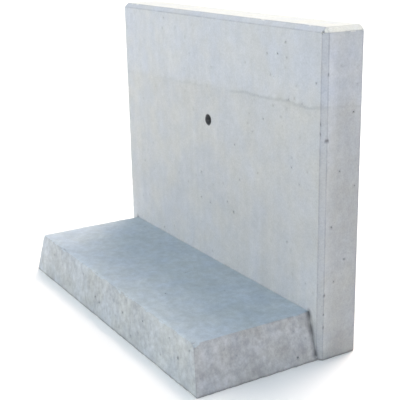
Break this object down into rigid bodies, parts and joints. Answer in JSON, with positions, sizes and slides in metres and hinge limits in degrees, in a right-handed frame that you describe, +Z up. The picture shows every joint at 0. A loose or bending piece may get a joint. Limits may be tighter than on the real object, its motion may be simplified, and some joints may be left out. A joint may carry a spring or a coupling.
{
  "type": "concrete l-wall element",
  "caption": "Precast reinforced concrete L-shaped wall element with chamfered edges, a drafted foot on one side and a sleeved handling hole through the wall.",
  "frame": {"origin": "middle of the underside, at the centre of the bounding box's bottom", "axes": "+X along the wall, +Y from the foot towards the back of the wall, +Z up"},
  "size_m": [0.99, 0.46, 0.8],
  "materials": {
    "concrete": "matte",
    "rebar": "matte",
    "sleeve_plastic": "matte",
    "spacer_plastic": "matte"
  },
  "bodies": {
    "root": {"concrete_body": "concrete", "hole_sleeve": "sleeve_plastic", "front_wall_bars": "rebar", "back_wall_bars": "rebar", "foot_top_bars": "rebar", "corner_diagonal_bars": "rebar", "front_wall_rails": "rebar", "back_wall_rails": "rebar", "foot_top_rails": "rebar", "foot_bottom_rails": "rebar", "top_hairpins": "rebar", "left_end_hairpins": "rebar", "right_end_hairpins": "rebar", "foot_nose_hairpins": "rebar", "hole_trimmer_bars": "rebar", "front_wheel_spacers": "spacer_plastic", "back_wheel_spacers": "spacer_plastic", "foot_wheel_spacers": "spacer_plastic"}
  },
  "joints": []
}
